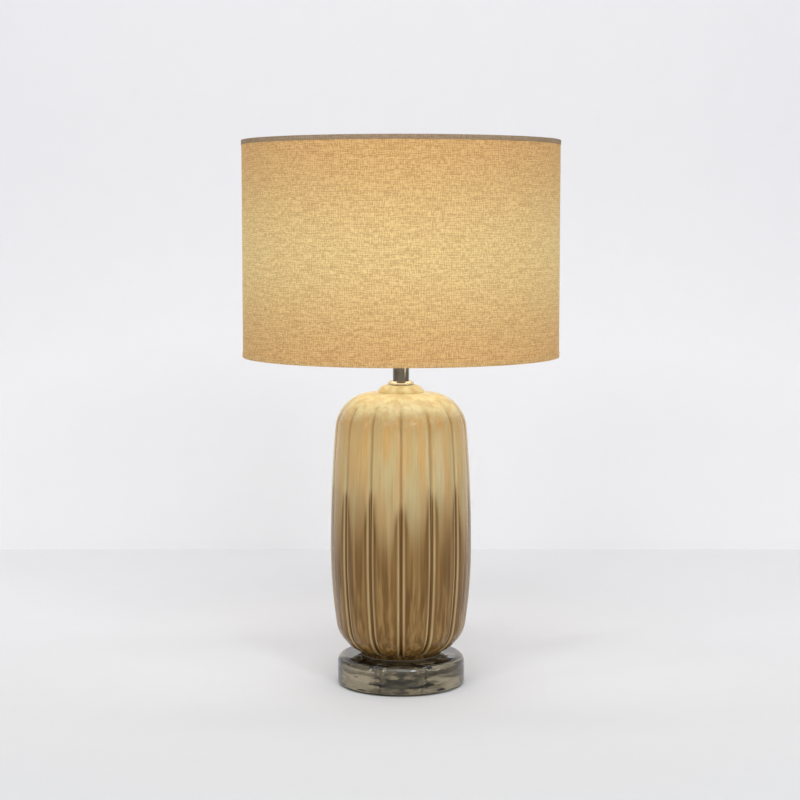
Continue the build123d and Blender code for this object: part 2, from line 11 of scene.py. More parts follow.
import bmesh
import bpy
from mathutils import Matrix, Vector

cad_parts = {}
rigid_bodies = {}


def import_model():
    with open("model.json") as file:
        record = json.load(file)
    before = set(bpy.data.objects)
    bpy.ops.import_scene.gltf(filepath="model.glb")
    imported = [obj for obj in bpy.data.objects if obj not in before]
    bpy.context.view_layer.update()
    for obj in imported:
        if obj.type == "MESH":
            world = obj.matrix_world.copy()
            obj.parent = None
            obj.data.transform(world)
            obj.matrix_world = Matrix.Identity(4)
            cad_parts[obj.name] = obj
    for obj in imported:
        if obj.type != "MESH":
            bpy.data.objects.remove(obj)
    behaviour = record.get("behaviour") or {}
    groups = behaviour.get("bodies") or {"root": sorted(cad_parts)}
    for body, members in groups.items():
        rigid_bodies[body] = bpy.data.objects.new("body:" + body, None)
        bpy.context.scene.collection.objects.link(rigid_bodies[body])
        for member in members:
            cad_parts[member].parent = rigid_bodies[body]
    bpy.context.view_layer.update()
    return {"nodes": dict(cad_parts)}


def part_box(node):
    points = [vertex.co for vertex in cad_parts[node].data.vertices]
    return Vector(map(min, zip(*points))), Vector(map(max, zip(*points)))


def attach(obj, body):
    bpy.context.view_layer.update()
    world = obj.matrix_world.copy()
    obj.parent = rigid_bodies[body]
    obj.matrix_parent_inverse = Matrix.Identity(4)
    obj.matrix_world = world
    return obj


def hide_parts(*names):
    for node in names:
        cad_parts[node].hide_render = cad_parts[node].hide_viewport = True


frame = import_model()
NODES = frame["nodes"]
MM = 0.001


def linked(name, data):
    """A new object at the origin, shown in the scene."""
    made = bpy.data.objects.new(name, data)
    bpy.context.scene.collection.objects.link(made)
    return made


# %% [markdown]
# ## The camera
# A lens is found by matching ellipses whose real size is known: here the shade's two rims and the
# base. They give a camera just over two metres away, a little above the shade's middle, that looks
# slightly down. A longer lens further off would flatten the ellipses.

# %% Camera
CAMERA_PLACE = (-0.0011, -2.1, 0.521)
CAMERA_PITCH = radians(5.5)
CAMERA_LENS = 85.46
SENSOR_WIDTH = 36.0

camera_data = bpy.data.cameras.new("camera")
camera_data.lens = CAMERA_LENS
camera_data.sensor_width = SENSOR_WIDTH
camera = linked("camera", camera_data)
camera.location = CAMERA_PLACE
camera.rotation_euler = (pi / 2 - CAMERA_PITCH, 0, 0)
bpy.context.scene.camera = camera
bpy.context.scene.view_settings.view_transform = "Standard"
print("camera:", CAMERA_PLACE, "lens", CAMERA_LENS)

# %% [markdown]
# ## Writing node trees as sums
# Shaders and shape rules are easier to read as arithmetic than as a web of boxes. `Wire` stands for
# one output socket, and adding or multiplying wires adds the Math nodes. Every other node comes
# from `Sheet.node`, which sets the node's own settings first and its sockets after.

# %% Wires and sheets


class Wire:
    """One output socket. Arithmetic on it adds Math nodes to its sheet."""

    def __init__(self, sheet, socket):
        self.sheet = sheet
        self.socket = socket

    def __add__(self, other):
        return self.sheet.maths("ADD", self, other)

    def __radd__(self, other):
        return self.sheet.maths("ADD", other, self)

    def __sub__(self, other):
        return self.sheet.maths("SUBTRACT", self, other)

    def __rsub__(self, other):
        return self.sheet.maths("SUBTRACT", other, self)

    def __mul__(self, other):
        return self.sheet.maths("MULTIPLY", self, other)

    def __rmul__(self, other):
        return self.sheet.maths("MULTIPLY", other, self)

    def __truediv__(self, other):
        return self.sheet.maths("DIVIDE", self, other)

    def __pow__(self, power):
        return self.sheet.maths("POWER", self, power)

    def __abs__(self):
        return self.sheet.maths("ABSOLUTE", self)


class Sheet:
    """A node tree, for a shader or for a shape."""

    def __init__(self, tree):
        self.tree = tree

    def node(self, kind, settings=None, sockets=None, out=0):
        made = self.tree.nodes.new(kind)
        for name, value in (settings or {}).items():
            setattr(made, name, value)
        for name, value in (sockets or {}).items():
            self.feed(made.inputs[name], value)
        return Wire(self, made.outputs[out])

    def feed(self, socket, value):
        if isinstance(value, Wire):
            self.tree.links.new(value.socket, socket)
        elif isinstance(value, tuple):
            socket.default_value = value[: len(socket.default_value)]
        else:
            socket.default_value = value

    def maths(self, operation, *values):
        return self.node("ShaderNodeMath", {"operation": operation}, dict(enumerate(values)))

    def vector_maths(self, operation, sockets):
        return self.node("ShaderNodeVectorMath", {"operation": operation}, sockets)

    def smooth(self, value, low, high):
        """0 below low, 1 above high, and an S curve between."""
        sockets = {"Value": value, "From Min": low, "From Max": high}
        return self.node("ShaderNodeMapRange", {"interpolation_type": "SMOOTHSTEP"}, sockets)

    def split(self, vector):
        parts = self.node("ShaderNodeSeparateXYZ", sockets={0: vector}).socket.node.outputs
        return [Wire(self, part) for part in parts]

    def join(self, x, y, z):
        return self.node("ShaderNodeCombineXYZ", sockets={0: x, 1: y, 2: z})

    def mix(self, factor, first, second):
        sockets = {0: factor, 6: first, 7: second}
        return self.node("ShaderNodeMix", {"data_type": "RGBA"}, sockets, out=2)

    def tinted(self, colour, strength):
        return self.vector_maths("SCALE", {0: colour, "Scale": strength})

    def noise(self, place, counts, detail=2.0):
        """Soft noise about 0.5, with so many counts in a metre along each axis."""
        spread = self.vector_maths("MULTIPLY", {0: place, 1: counts})
        sockets = {"Vector": spread, "Scale": 1.0, "Detail": detail}
        return self.node("ShaderNodeTexNoise", {}, sockets, out="Fac")


print("wires and sheets ready")

# %% [markdown]
# ## Finishes
# Every surface here is one Principled shader, so a small class can make the material and feed its
# sockets by name. Real surfaces are never quite even. `uneven` turns a noise into a factor about 1,
# which is easier to judge than a pair of limits.

# %% Finish helpers


def srgb(red, green, blue):
    """A screen colour of 0 to 255 as the linear colour that a socket takes."""
    shares = [channel / 255 for channel in (red, green, blue)]
    return (*[s / 12.92 if s <= 0.04045 else ((s + 0.055) / 1.055) ** 2.4 for s in shares], 1.0)


def uneven(mark, swing):
    """About 1: higher where the mark is strong and lower where it is weak."""
    return (1 - swing / 2) + swing * mark


class Finish(Sheet):
    """A material whose Principled surface is fed by name."""

    def __init__(self, name, **constants):
        self.material = bpy.data.materials.new(name)
        self.material.use_nodes = True
        super().__init__(self.material.node_tree)
        self.surface = self.tree.nodes["Principled BSDF"]
        for socket, value in constants.items():
            self.paint(socket, value)

    def paint(self, socket, value):
        self.feed(self.surface.inputs[socket.replace("_", " ")], value)

    def glow(self, colour, strength):
        self.paint("Emission_Color", self.tinted(colour, strength))
        self.paint("Emission_Strength", 1.0)

    def place(self):
        return self.node("ShaderNodeTexCoord", out="Object")

    def uv(self):
        return self.node("ShaderNodeTexCoord", out="UV")

    def attribute(self, name):
        return self.node("ShaderNodeAttribute", {"attribute_name": name}, out="Fac")

    def bump(self, height, depth, strength):
        sockets = {"Height": height, "Distance": depth, "Strength": strength}
        self.paint("Normal", self.node("ShaderNodeBump", {}, sockets))


print("finish helpers ready")

# %% [markdown]
# ## Turned pieces
# The neck and the hems are turned shapes: an outline of radius and height, spun about the lamp's
# axis. A real turned or folded edge is never razor sharp, so each corner of the outline is first
# rounded with a small arc. A bevel modifier could do that too, but on an outline it costs fewer
# faces. Spinning the outline as a closed ring gives a watertight shell.

# %% Turned helpers
SHARP_ANGLE = radians(50)
WELD = 1e-6
ARC_LIMIT = 0.45


def rounded(corners, radius, steps=4):
    """The closed outline with every corner cut by an arc, limited by the edges beside it."""
    points = []
    for number, (x, z) in enumerate(corners):
        before = corners[number - 1]
        after = corners[(number + 1) % len(corners)]
        back = (before[0] - x, before[1] - z)
        ahead = (after[0] - x, after[1] - z)
        reach = min(radius, ARC_LIMIT * hypot(*back), ARC_LIMIT * hypot(*ahead))
        start = [reach * part / hypot(*back) for part in back]
        end = [reach * part / hypot(*ahead) for part in ahead]
        for step in range(steps + 1):
            near_end = (step / steps) ** 2
            near_start = (1 - step / steps) ** 2
            place = (x + near_start * start[0] + near_end * end[0],
                     z + near_start * start[1] + near_end * end[1])
            points.append(place)
    return points


def mesh_object(name, shape):
    """An object of a finished bmesh, with smooth faces and sharp edges only at real corners."""
    bmesh.ops.recalc_face_normals(shape, faces=shape.faces)
    mesh = bpy.data.meshes.new(name)
    shape.to_mesh(mesh)
    shape.free()
    mesh.shade_smooth()
    mesh.set_sharp_from_angle(angle=SHARP_ANGLE)
    return linked(name, mesh)


def ring_of(shape, outline, angle):
    """New vertices for an outline of (radius, height) points, turned to an angle."""
    return [shape.verts.new((r * cos(angle), r * sin(angle), z)) for r, z in outline]


def bridge(shape, ring, beside):
    """A band of four-sided faces between two closed rings."""
    for row in range(len(ring)):
        after = (row + 1) % len(ring)
        shape.faces.new((ring[row], beside[row], beside[after], ring[after]))


def turned(name, outline, around):
    """A ring spun from a closed outline of (radius, height) points in metres."""
    shape = bmesh.new()
    rings = [ring_of(shape, outline, 2 * pi * column / around) for column in range(around)]
    for column, ring in enumerate(rings):
        bridge(shape, ring, rings[(column + 1) % around])
    bmesh.ops.remove_doubles(shape, verts=shape.verts, dist=WELD)
    return mesh_object(name, shape)


def dress(piece, body, slot, material, *replaced):
    """Gives a piece its material, the body that it rides on and the nodes it stands for."""
    piece.data.materials.clear()
    piece.data.materials.append(material)
    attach(piece, body)
    if replaced:
        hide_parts(*replaced)


print("turned helpers ready")

# %% [markdown]
# ## The lobed body: its sizes
# The ceramic body was cast in a mould with fourteen lobes. Slip is poured in, a wall sets against
# the mould, and the rest is poured out, so the body is hollow. Its sizes are those of the CAD node,
# with the wall's thickness and the seats of the two bushes that centre the pipe.

# %% Sizes of the body
BODY_R = 78.4 * MM
BODY_H = 291 * MM
WIDEST_H = 118.5 * MM
LOW_SIDE_R = 600 * MM
HIGH_SIDE_R = 1650 * MM
LOW_ROUND = 38 * MM
SHOULDER_ROUND = 42 * MM
FOOT_RING_R = 45 * MM
FOOT_RING_H = 1.5 * MM
FOOT_RING_W = 10 * MM
COLLAR_R = 25.5 * MM
COLLAR_TOP_R = 15 * MM
COLLAR_H = 8.5 * MM
COLLAR_EDGE_H = 1.5 * MM
SIDE_WALL = 9 * MM
END_WALL = 8 * MM
BUSH_HOLE_R = 9 * MM
BUSH_LEDGE_R = 7 * MM
BUSH_DEPTH = 10 * MM
OUTLINE_STEP = 1.7 * MM
COLLAR_STEP = 0.7 * MM
INNER_STEP = 9 * MM
FOOT_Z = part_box("ceramic_body")[0].z
BODY_Z = FOOT_Z + FOOT_RING_H
SHOULDER_Z = BODY_Z + BODY_H
print("body: from", round(FOOT_Z, 4), "to", round(SHOULDER_Z + COLLAR_H, 4), "m")

# %% [markdown]
# ## The lobed body: its outline
# The outline is the section of the whole wall: under the foot, up the outside, over the collar and
# down the inside. Its side is a chain of four tangent arcs, and each centre is worked out from the
# arc beside it. Typed points would be quicker, but a glossy glaze shows every flat between them.
# Outer points stand close together and inner ones far apart, because nobody sees the inside.

# %% Outline of the body


def arc(centre, radius, start, end, step=OUTLINE_STEP):
    """Points of an arc about centre, from one angle to another, about one step apart."""
    count = max(2, ceil(abs(end - start) * radius / step))
    turns = [start + (end - start) * number / count for number in range(count + 1)]
    return [(centre[0] + radius * cos(turn), centre[1] + radius * sin(turn)) for turn in turns]


def line(start, end, step=OUTLINE_STEP):
    """Points of a straight line, about one step apart, without the last one."""
    count = max(1, ceil(dist(start, end) / step))
    run, rise = end[0] - start[0], end[1] - start[1]
    return [(start[0] + run * n / count, start[1] + rise * n / count) for n in range(count)]


def side_arcs(radius, low_z, high_z, low_round, high_round, low_x=None, step=OUTLINE_STEP):
    """The rounded foot, two side arcs and rounded shoulder, each tangent to the next, going up."""
    widest = BODY_Z + WIDEST_H
    low = (radius - LOW_SIDE_R, widest)
    high = (radius - HIGH_SIDE_R, widest)
    low_drop = widest - low_z - low_round
    high_rise = high_z - high_round - widest
    low_reach = LOW_SIDE_R - low_round
    high_reach = HIGH_SIDE_R - high_round
    low_centre = (low[0] + sqrt(low_reach**2 - low_drop**2), low_z + low_round)
    high_centre = (high[0] + sqrt(high_reach**2 - high_rise**2), high_z - high_round)
    low_turn = -asin(low_drop / low_reach)
    high_turn = asin(high_rise / high_reach)
    start = -pi / 2 + (asin((low_x - low_centre[0]) / low_round) if low_x else 0)
    points = arc(low_centre, low_round, start, low_turn, step)
    points += arc(low, LOW_SIDE_R, low_turn, 0, step)[1:]
    points += arc(high, HIGH_SIDE_R, 0, high_turn, step)[1:]
    return points + arc(high_centre, high_round, high_turn, pi / 2, step)[1:]


def outer_outline():
    """Under the foot, up the side and over the collar."""
    edge_z = SHOULDER_Z + COLLAR_EDGE_H
    dome = COLLAR_H - COLLAR_EDGE_H
    dome_r = ((COLLAR_R - COLLAR_TOP_R) ** 2 + dome**2) / (2 * dome)
    dome_turn = asin((dome_r - dome) / dome_r)
    ring_in = FOOT_RING_R - FOOT_RING_W
    points = [(BUSH_HOLE_R, BODY_Z), (ring_in, BODY_Z), (ring_in, FOOT_Z), (FOOT_RING_R, FOOT_Z)]
    points += side_arcs(BODY_R, BODY_Z, SHOULDER_Z, LOW_ROUND, SHOULDER_ROUND, FOOT_RING_R)
    points += line(points[-1], (COLLAR_R, SHOULDER_Z))[1:]
    points += line((COLLAR_R, SHOULDER_Z), (COLLAR_R, edge_z), COLLAR_STEP)
    dome_centre = (COLLAR_TOP_R, edge_z + dome - dome_r)
    return points + arc(dome_centre, dome_r, dome_turn, pi / 2, COLLAR_STEP)


def inner_outline():
    """Down through the upper bush's seat and the hollow, to the hole in the floor."""
    top = SHOULDER_Z + COLLAR_H
    ledge_z = top - BUSH_DEPTH
    floor_z = BODY_Z + END_WALL
    roof_z = SHOULDER_Z - END_WALL
    points = [(BUSH_HOLE_R + COLLAR_STEP, top), (BUSH_HOLE_R, top)]
    points += [(BUSH_HOLE_R, ledge_z), (BUSH_LEDGE_R, ledge_z), (BUSH_LEDGE_R, roof_z)]
    rounds = (LOW_ROUND - SIDE_WALL, SHOULDER_ROUND - SIDE_WALL)
    hollow = side_arcs(BODY_R - SIDE_WALL, floor_z, roof_z, *rounds, step=INNER_STEP)
    return points + hollow[::-1] + [(BUSH_HOLE_R, floor_z)]


outline = outer_outline() + inner_outline()
outline.append(outline[0])
print("body outline:", len(outline), "points, top at", round(max(z for _, z in outline), 4))

# %% [markdown]
# ## The glaze
# Two glazes meet on the body: cream above, brown below. The brown one climbs highest in the grooves
# and the cream one hangs down the middle of each lobe in tongues. On sharp edges a glaze runs thin
# and turns pale, and in a groove it pools and turns dark. On the shoulder and the collar it lies
# thick and dimpled, and there its colour is painted pale in blotches, as painted light from the
# bulb and painted highlights. First come the colours, then the sizes and strengths of each mask.

# %% Glaze colours and masks
CREAM_WARM = srgb(213, 174, 111)
CREAM_COOL = srgb(200, 178, 127)
CREAM_WARM_LOW = srgb(192, 157, 106)
CREAM_COOL_LOW = srgb(189, 175, 130)
# Painted light: the pale cream of the shoulder and collar where the bulb lights them.
CROWN_LAMPLIT_CREAM = srgb(240, 234, 192)
BROWN = srgb(157, 124, 75)
BROWN_DEEP = srgb(100, 67, 21)
GLAZE_POOL = srgb(100, 66, 20)
GLAZE_BREAK = srgb(220, 192, 140)
# Heights and lengths along the body, in metres.
GLAZE_LINE_LOBE = 0.190
GLAZE_FLAME = 0.026
GLAZE_BLEND = 0.05
GLAZE_STREAK = 0.05
CREAM_RISE = (0.21, 0.285)
CROWN_RISE = (0.296, 0.314)
# Noises, in counts per metre along each axis.
RUNS = (260, 260, 6)
FINE = (520, 520, 9)
DRIFT = (30, 30, 12)
BANDS = (130, 130, 2.5)
DIMPLES_AND_GLINTS = (110, 110, 75)
RIPPLES = (70, 70, 18)
# Where each mask starts and is full.
FLAME_ACROSS = (0.36, 0.84)
TONE_SPAN = (0.35, 0.65)
BAND_SPAN = (0.45, 0.55)
# Strengths of the masks and of what they change.
FLAME_CRISP = 0.82
FLAME_DARK = 0.9
CREAM_TONE = 0.45
BROWN_TONE = 0.6
MOTTLE_LEAST = 0.2
MOTTLE_SPAN = 0.7
CROWN_LEAST = 0.55
BREAK_LEAST = 0.4
BREAK_SHARE = 0.85
BREAK_LOSS = 0.4
POOL_SHARE = 0.85
POOL_LOSS = 0.5
RUN_SHADE = 0.14
FINE_SHADE = 0.3
GLAZE_ROUGH = 0.14
RIPPLE_ROUGH = 0.12
CROWN_ROUGH = 0.6
GLAZE_COAT = 0.02
CROWN_COAT = 0.12
# Relief of the surface.
DIMPLE_RELIEF = 1.3
GLAZE_RELIEF = 1.2 * MM
GLAZE_RELIEF_SHARE = 0.35
print("glaze border: from", GLAZE_LINE_LOBE, "to", GLAZE_LINE_LOBE + GLAZE_FLAME, "m")

# %% [markdown]
# The colour is mixed from the height, the place across the lobe and the groove masks that the shape
# rule stores on the mesh. Noises that are stretched up and down give the runs. A ramp on height
# alone would give a straight band, which no kiln makes.

# %% Glaze finish


def blended(first, second, share):
    """A weighted mean: share of the first and the rest of the second."""
    return first * share + second * (1 - share)


def glaze_finish():
    glaze = Finish("reactive_glaze", Specular_IOR_Level=0.25, Coat_Roughness=0.05)
    place = glaze.place()
    height = glaze.split(place)[2]
    runs = glaze.noise(place, RUNS, detail=3)
    fine = glaze.noise(place, FINE)
    drift = glaze.noise(place, DRIFT)
    ripple = glaze.noise(place, RIPPLES, detail=1)
    tone = glaze.smooth(runs, *TONE_SPAN)
    bands = glaze.smooth(glaze.noise(place, BANDS), *BAND_SPAN)
    dimple_and_glint = glaze.smooth(glaze.noise(place, DIMPLES_AND_GLINTS, detail=1), *TONE_SPAN)
    crown = glaze.smooth(height, *CROWN_RISE)

    flame = glaze.smooth(abs(glaze.attribute("across")), *FLAME_ACROSS)
    border = GLAZE_LINE_LOBE + GLAZE_FLAME * flame
    border = border + GLAZE_STREAK * (runs - 0.5) + GLAZE_STREAK * (drift - 0.5)
    blend = GLAZE_BLEND * (1 - FLAME_CRISP * flame)
    cream_share = glaze.smooth((height - border) / blend, -1, 1)

    tint = blended(tone, bands, CREAM_TONE)
    high_cream = glaze.mix(tint, CREAM_WARM, CREAM_COOL)
    low_cream = glaze.mix(tint, CREAM_WARM_LOW, CREAM_COOL_LOW)
    cream = glaze.mix(glaze.smooth(height, *CREAM_RISE), low_cream, high_cream)
    # Painted light and highlights: the shoulder and collar turn pale in blotches under the bulb.
    cream = glaze.mix(crown * (CROWN_LEAST + (1 - CROWN_LEAST) * dimple_and_glint), cream, CROWN_LAMPLIT_CREAM)
    mottle = MOTTLE_LEAST + MOTTLE_SPAN * blended(tone, bands, BROWN_TONE)
    brown = glaze.mix(mottle * (1 - FLAME_DARK * flame), BROWN_DEEP, BROWN)
    colour = glaze.mix(cream_share, brown, cream)
    thin = glaze.attribute("edge") * (BREAK_LEAST + drift)
    colour = glaze.mix(thin * (BREAK_SHARE - BREAK_LOSS * cream_share), colour, GLAZE_BREAK)
    pool = glaze.attribute("groove") * (POOL_SHARE - POOL_LOSS * cream_share)
    colour = glaze.mix(pool, colour, GLAZE_POOL)
    shade = uneven(runs, RUN_SHADE) + FINE_SHADE * (fine - 0.5)
    glaze.paint("Base_Color", glaze.tinted(colour, shade))

    rough = (GLAZE_ROUGH + RIPPLE_ROUGH * ripple) * (1 + CROWN_ROUGH * crown)
    glaze.paint("Roughness", rough)
    glaze.paint("Coat_Weight", GLAZE_COAT + CROWN_COAT * crown)
    glaze.bump(ripple + DIMPLE_RELIEF * crown * dimple_and_glint, GLAZE_RELIEF, GLAZE_RELIEF_SHARE)
    return glaze.material


glaze_material = glaze_finish()
print("glaze:", len(glaze_material.node_tree.nodes), "nodes")

# %% [markdown]
# ## Shape trees
# A shape that follows one rule suits Geometry Nodes: the rule is kept with its named sizes, and a
# changed size gives a changed shape. The helpers below start a tree with its sizes as inputs, end
# it with real geometry in one material, and bake the result to a plain mesh, which every later step
# can use.

# %% Shape tree helpers


def shape_tree(name, sizes):
    """A shape tree with a geometry socket, then one named number for each size."""
    tree = bpy.data.node_groups.new(name, "GeometryNodeTree")
    tree.interface.new_socket("Geometry", in_out="INPUT", socket_type="NodeSocketGeometry")
    for label, value in sizes.items():
        kind = "NodeSocketInt" if isinstance(value, int) else "NodeSocketFloat"
        tree.interface.new_socket(label, in_out="INPUT", socket_type=kind)
    tree.interface.new_socket("Geometry", in_out="OUTPUT", socket_type="NodeSocketGeometry")
    sheet = Sheet(tree)
    outputs = tree.nodes.new("NodeGroupInput").outputs
    wires = {label: Wire(sheet, outputs[label]) for label in ["Geometry", *sizes]}
    return sheet, wires


def finish_shape(sheet, geometry, material):
    """Ends a tree with real geometry in one material."""
    real = sheet.node("GeometryNodeRealizeInstances", sockets={"Geometry": geometry})
    sockets = {"Geometry": real, "Material": material}
    done = sheet.node("GeometryNodeSetMaterial", sockets=sockets)
    end = sheet.tree.nodes.new("NodeGroupOutput")
    sheet.feed(end.inputs["Geometry"], done)


def host_line(points):
    """A host mesh that is one line of points in the XZ plane."""
    mesh = bpy.data.meshes.new("host_line")
    edges = [(number, number + 1) for number in range(len(points) - 1)]
    mesh.from_pydata([(x, 0, z) for x, z in points], edges, [])
    return linked("host_line", mesh)


def baked(name, host, tree, sizes):
    """Runs a shape tree on a host mesh and keeps the result as a plain mesh object."""
    modifier = host.modifiers.new(tree.name, "NODES")
    modifier.node_group = tree
    for item in tree.interface.items_tree:
        if item.in_out == "INPUT" and item.name in sizes:
            modifier[item.identifier] = sizes[item.name]
    graph = bpy.context.evaluated_depsgraph_get()
    seen = host.evaluated_get(graph)
    mesh = bpy.data.meshes.new_from_object(seen, preserve_all_data_layers=True, depsgraph=graph)
    mesh.name = name
    bpy.data.objects.remove(host)
    return linked(name, mesh)


print("shape tree helpers ready")

# %% [markdown]
# ## Wrapping a grid round an outline
# A flat grid has one row for each point of the outline and its columns go round the axis. Each row
# looks up the radius and the height of its own outline point, so that the mesh keeps every corner
# of the section. Sampling at even lengths would cut the corners off. The two neighbours of a point
# give its direction, and so say which way is out.

# %% Grid helpers


def wrapped_grid(sheet, size, columns):
    """A grid with a row for each outline point, and each row's radius, height and direction."""
    sockets = {"Size X": 1, "Size Y": 1, "Vertices X": columns + 1, "Vertices Y": size["Rows"]}
    grid = sheet.node("GeometryNodeMeshGrid", sockets=sockets)
    position = sheet.node("GeometryNodeInputPosition")
    across, along, _ = sheet.split(position)
    row = sheet.maths("ROUND", (along + 0.5) * (size["Rows"] - 1))
    settings = {"data_type": "FLOAT_VECTOR", "clamp": True}

    def outline_point(index):
        sockets = {"Geometry": size["Geometry"], "Value": position, "Index": index}
        return sheet.split(sheet.node("GeometryNodeSampleIndex", settings, sockets))

    radius, _, height = outline_point(row)
    after_r, _, after_z = outline_point(row + 1)
    before_r, _, before_z = outline_point(row - 1)
    lean = after_r - before_r
    rise = after_z - before_z
    span = (lean * lean + rise * rise) ** 0.5
    return grid, across + 0.5, radius, height, lean / span, rise / span


def wrapped_round(sheet, grid, angle, radius, height):
    """Puts each grid point at its angle, radius and height, and closes the seam and poles."""
    x = radius * sheet.maths("COSINE", angle)
    y = radius * sheet.maths("SINE", angle)
    sockets = {"Geometry": grid, "Position": sheet.join(x, y, height)}
    wrapped = sheet.node("GeometryNodeSetPosition", sockets=sockets)
    sockets = {"Geometry": wrapped, "Distance": WELD}
    closed = sheet.node("GeometryNodeMergeByDistance", sockets=sockets)
    return sheet.node("GeometryNodeSetShadeSmooth", sockets={"Geometry": closed})


def stored(sheet, geometry, name, value):
    sockets = {"Geometry": geometry, "Name": name, "Value": value}
    settings = {"data_type": "FLOAT", "domain": "POINT"}
    return sheet.node("GeometryNodeStoreNamedAttribute", settings, sockets)


print("grid helpers ready")

# %% [markdown]
# ## The lobed body: one rule for the whole shape
# A groove runs down the body between each pair of lobes, and it fades out on the shoulder and under
# the foot. Each column is pushed in by its distance from the nearest groove, and the columns crowd
# together there, where the shape bends most. Sculpting would give fourteen lobes that differ. The
# rule also stores the groove, its edges and the place across the lobe as attributes, so that the
# glaze can pool in the grooves.

# %% Lobed body
LOBES = 14
COLUMNS_PER_LOBE = 20
GROOVE_DEPTH = 2.0 * MM
GROOVE_HALF_W = 3.6 * MM
GROOVE_POWER = 1.5
GROOVE_CROWD = 0.62
EDGE_PLACE = 0.8
EDGE_WIDTH = 0.27
LOBE_CROWN = 0.9 * MM
SHOULDER_FADE_R = (50 * MM, 72 * MM)
FOOT_FADE_R = (44.9 * MM, 46.5 * MM)
FOOT_DEEPER = 0.6
FOOT_DEEPER_Z = 90 * MM


def lobed_body_tree(sizes, material):
    sheet, size = shape_tree("lobed_body", sizes)
    columns = size["Lobes"] * size["Columns per lobe"]
    grid, across, radius, height, lean, rise = wrapped_grid(sheet, size, columns)
    turns = across * size["Lobes"]
    lobe = sheet.maths("FLOOR", turns)
    share = turns - lobe
    share = share - GROOVE_CROWD / (2 * pi) * sheet.maths("SINE", share * (2 * pi))
    angle = (lobe + share) / size["Lobes"] * (2 * pi) - pi / 2
    nearest = sheet.maths("MINIMUM", share, 1 - share)
    distance = nearest * (2 * pi) * radius / size["Lobes"]

    low = 1 - sheet.smooth(height, BODY_Z, FOOT_DEEPER_Z)
    on_foot = sheet.smooth(radius, *FOOT_FADE_R) * sheet.maths("GREATER_THAN", low, 0)
    fade = sheet.maths("MAXIMUM", sheet.smooth(radius, *SHOULDER_FADE_R), on_foot)
    fade = fade * sheet.maths("GREATER_THAN", rise, 0)
    half_width = size["Groove half width"]
    cut = sheet.maths("MAXIMUM", 1 - distance / half_width, 0)
    crown = (1 - 2 * nearest) ** 2
    depth = size["Groove depth"] * cut**GROOVE_POWER + size["Lobe crown"] * crown
    depth = fade * (1 + FOOT_DEEPER * low) * depth
    edge_place = (distance - half_width * EDGE_PLACE) / (half_width * EDGE_WIDTH)
    edge = sheet.maths("EXPONENT", 0 - edge_place * edge_place)

    marked = stored(sheet, grid, "groove", cut * cut * fade)
    marked = stored(sheet, marked, "edge", edge * fade)
    marked = stored(sheet, marked, "across", (share * 2 - 1) * fade)
    radius = radius - depth * rise
    height = height + depth * lean
    finish_shape(sheet, wrapped_round(sheet, marked, angle, radius, height), material)
    return sheet.tree


body_sizes = {
    "Lobes": LOBES,
    "Columns per lobe": COLUMNS_PER_LOBE,
    "Rows": len(outline),
    "Groove depth": GROOVE_DEPTH,
    "Groove half width": GROOVE_HALF_W,
    "Lobe crown": LOBE_CROWN,
}
body_tree = lobed_body_tree(body_sizes, glaze_material)
body = baked("glazed_body", host_line(outline), body_tree, body_sizes)
dress(body, "stand", "reactive_glaze", glaze_material, "ceramic_body")
print("glazed body:", len(body.data.polygons), "faces")

# %% [markdown]
# ## The linen shade
# The shade is linen on a stiff film. It was cut as one strip, wrapped round two wire rings and
# closed with a lap seam, which sits at the rear where a lamp is not looked at. So the cloth here is
# one strip too: it starts under the lap, climbs by its own thickness and runs once round. A closed
# cylinder would be quicker, but it has no seam and no place where the weave begins.

# %% Shade cloth
SHADE_TURN_R = 174.4 * MM
CLOTH_T = 0.3 * MM
LAP_W = 12 * MM
LAP_RAMP = 6 * MM
CLOTH_COLUMNS = 240
cloth_low, cloth_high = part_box("shade_cover")
CLOTH_L = 2 * pi * SHADE_TURN_R + LAP_W


def cloth_section(run):
    """The four corners of the strip, as (radius, height), at a length along it."""
    share = min(max((run - LAP_W) / LAP_RAMP, 0), 1)
    middle = SHADE_TURN_R - CLOTH_T * (1 - share * share * (3 - 2 * share))
    inner, outer = middle - CLOTH_T / 2, middle + CLOTH_T / 2
    low, high = cloth_low.z, cloth_high.z
    return [(inner, low), (outer, low), (outer, high), (inner, high)]


def cloth_strip():
    """A closed thin strip with its flat place, in metres, as its texture place."""
    shape = bmesh.new()
    flat = shape.loops.layers.uv.new("flat")
    first = pi / 2 - LAP_W / (2 * SHADE_TURN_R)
    rings, run_of = [], {}
    for column in range(CLOTH_COLUMNS + 1):
        run = CLOTH_L * column / CLOTH_COLUMNS
        ring = ring_of(shape, cloth_section(run), first + run / SHADE_TURN_R)
        run_of.update(dict.fromkeys(ring, run))
        rings.append(ring)
    for ring, beside in zip(rings, rings[1:]):
        bridge(shape, ring, beside)
    shape.faces.new(rings[0][::-1])
    shape.faces.new(rings[-1])
    for face in shape.faces:
        for loop in face.loops:
            loop[flat].uv = (run_of[loop.vert], loop.vert.co.z - cloth_low.z)
    return mesh_object("linen_cover", shape)


cover = cloth_strip()

# %% [markdown]
# ## The linen's weave and glow
# Linen shows slubs: threads that swell and thin along their length. Noises that are stretched along
# the two thread directions give them, and two waves give the even count of threads. Light from the
# bulb comes through the cloth, most where the cloth is nearest the bulb, and less where a thread is
# thick. That light is painted as emission by height, because the film behind the cloth spreads it
# evenly. Real translucent cloth would need many more samples for the same picture.

